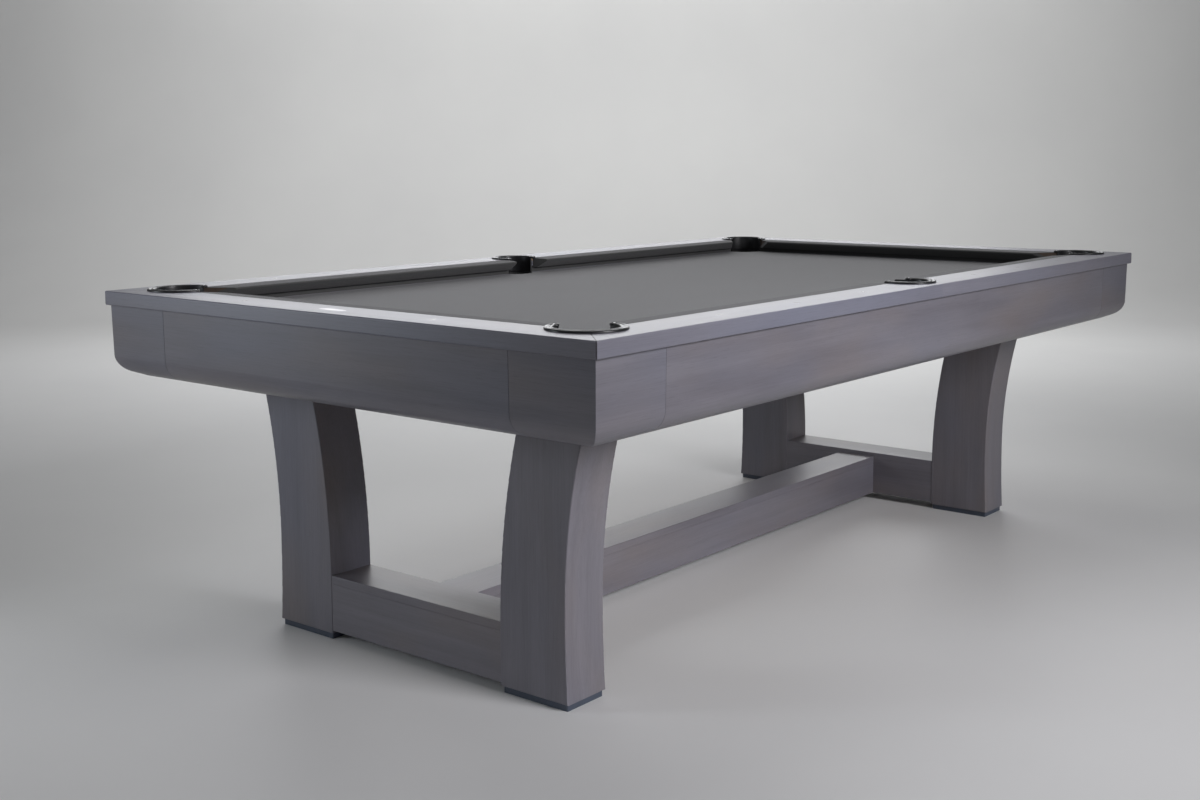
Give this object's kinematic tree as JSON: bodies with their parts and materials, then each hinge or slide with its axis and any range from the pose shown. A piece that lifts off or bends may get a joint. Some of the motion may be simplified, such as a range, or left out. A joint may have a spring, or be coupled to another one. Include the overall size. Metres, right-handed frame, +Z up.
{
  "type": "pool table",
  "caption": "Pocketed cue-sports table with a slate bed, cloth-covered cushions, moulded drop pockets, flared legs joined by stretchers, and levelling feet",
  "frame": {"origin": "on the floor under the middle of the table", "axes": "+X along the length towards the right end, +Y across the width towards the back, +Z up"},
  "size_m": [2.552, 1.435, 0.789],
  "materials": {
    "stained_wood": "grey-stained hardwood, satin lacquer, fine straight grain",
    "plain_wood": "plain unfinished softwood",
    "slate": "honed natural slate",
    "cloth": "mid-grey worsted cloth, brushed flat",
    "rubber": "moulded gum rubber",
    "pearl": "pearl inlay, polished flush",
    "plate_metal": "satin anodised, blank",
    "pocket_plastic": "black moulded plastic, slightly glossy",
    "dark_steel": "dark blue-grey powder coat",
    "zinc_steel": "zinc-plated steel",
    "bright_steel": "zinc-plated, turned"
  },
  "bodies": {
    "root": {"apron_back": "stained_wood", "apron_brackets": "zinc_steel", "apron_front": "stained_wood", "apron_left": "stained_wood", "apron_right": "stained_wood", "bed_cloth": "cloth", "centre_stretcher": "stained_wood", "corner_block_back_left": "stained_wood", "corner_block_back_right": "stained_wood", "corner_block_front_left": "stained_wood", "corner_block_front_right": "stained_wood", "cushion_cloths": "cloth", "cushions": "rubber", "end_stretcher_left": "stained_wood", "end_stretcher_right": "stained_wood", "feather_strips": "plain_wood", "frame_beam_back": "plain_wood", "frame_beam_front": "plain_wood", "frame_screws": "bright_steel", "leg_back_left": "stained_wood", "leg_back_right": "stained_wood", "leg_beam_left": "plain_wood", "leg_beam_right": "plain_wood", "leg_bolts": "bright_steel", "leg_front_left": "stained_wood", "leg_front_right": "stained_wood", "leg_mount_plates": "zinc_steel", "levelling_inserts": "zinc_steel", "name_plate": "plate_metal", "pocket_buckets": "pocket_plastic", "pocket_collar_back_left": "pocket_plastic", "pocket_collar_back_right": "pocket_plastic", "pocket_collar_back_side": "pocket_plastic", "pocket_collar_front_left": "pocket_plastic", "pocket_collar_front_right": "pocket_plastic", "pocket_collar_front_side": "pocket_plastic", "rail_back_left": "stained_wood", "rail_back_right": "stained_wood", "rail_bolts": "bright_steel", "rail_end_left": "stained_wood", "rail_end_right": "stained_wood", "rail_front_left": "stained_wood", "rail_front_right": "stained_wood", "sights": "pearl", "slate_backing": "plain_wood", "slate_centre": "slate", "slate_left": "slate", "slate_right": "slate", "slate_screws": "bright_steel", "slate_supports": "plain_wood", "stretcher_dowels": "plain_wood", "wood_screws": "bright_steel"},
    "foot_front_left": {"foot_plate_front_left": "dark_steel"},
    "screw_front_left": {"levelling_screw_front_left": "bright_steel"},
    "foot_front_right": {"foot_plate_front_right": "dark_steel"},
    "screw_front_right": {"levelling_screw_front_right": "bright_steel"},
    "foot_back_left": {"foot_plate_back_left": "dark_steel"},
    "screw_back_left": {"levelling_screw_back_left": "bright_steel"},
    "foot_back_right": {"foot_plate_back_right": "dark_steel"},
    "screw_back_right": {"levelling_screw_back_right": "bright_steel"}
  },
  "joints": [
    {"name": "level_front_left", "type": "slide", "parent": "root", "child": "foot_front_left", "axis": [0, 0, -1], "range_m": [0, 0.012]},
    {"name": "turn_front_left", "type": "hinge", "parent": "foot_front_left", "child": "screw_front_left", "pos_m": [-0.966, -0.3475, 0.005], "axis": [0, 0, 1], "range_deg": [0, 2160]},
    {"name": "level_front_right", "type": "slide", "parent": "root", "child": "foot_front_right", "axis": [0, 0, -1], "range_m": [0, 0.012]},
    {"name": "turn_front_right", "type": "hinge", "parent": "foot_front_right", "child": "screw_front_right", "pos_m": [0.966, -0.3475, 0.005], "axis": [0, 0, 1], "range_deg": [0, 2160]},
    {"name": "level_back_left", "type": "slide", "parent": "root", "child": "foot_back_left", "axis": [0, 0, -1], "range_m": [0, 0.012]},
    {"name": "turn_back_left", "type": "hinge", "parent": "foot_back_left", "child": "screw_back_left", "pos_m": [-0.966, 0.3475, 0.005], "axis": [0, 0, 1], "range_deg": [0, 2160]},
    {"name": "level_back_right", "type": "slide", "parent": "root", "child": "foot_back_right", "axis": [0, 0, -1], "range_m": [0, 0.012]},
    {"name": "turn_back_right", "type": "hinge", "parent": "foot_back_right", "child": "screw_back_right", "pos_m": [0.966, 0.3475, 0.005], "axis": [0, 0, 1], "range_deg": [0, 2160]}
  ],
  "couplings": [
    {"joint": "turn_front_left", "follows": "level_front_left", "rad_per_m": 3141.6},
    {"joint": "turn_front_right", "follows": "level_front_right", "rad_per_m": 3141.6},
    {"joint": "turn_back_left", "follows": "level_back_left", "rad_per_m": 3141.6},
    {"joint": "turn_back_right", "follows": "level_back_right", "rad_per_m": 3141.6}
  ]
}
